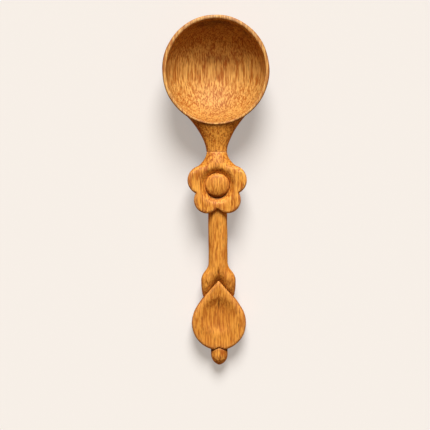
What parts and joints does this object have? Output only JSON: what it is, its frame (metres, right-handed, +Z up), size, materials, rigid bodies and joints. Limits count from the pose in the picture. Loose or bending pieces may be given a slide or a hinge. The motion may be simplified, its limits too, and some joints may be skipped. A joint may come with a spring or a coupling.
{
  "type": "love spoon",
  "caption": "Small wooden love spoon: round bowl, neck, flower with a domed boss, stem with a forked calyx, drop-shaped heart and an end bud.",
  "frame": {"origin": "middle of the spoon's length and width, on the table that it lies on face up", "axes": "+X to the right, +Y from the handle to the bowl, +Z up out of the bowl"},
  "size_m": [0.046, 0.1506, 0.0185],
  "materials": {
    "oiled_wood": "oiled satin, fine dark pores along the grain",
    "dowel_wood": "plain, unfinished"
  },
  "bodies": {
    "root": {"bowl": "oiled_wood", "flower": "oiled_wood", "flower_boss": "oiled_wood", "stem": "oiled_wood", "heart": "oiled_wood", "bud": "oiled_wood", "neck_dowel": "dowel_wood", "stem_dowel": "dowel_wood"}
  },
  "joints": []
}
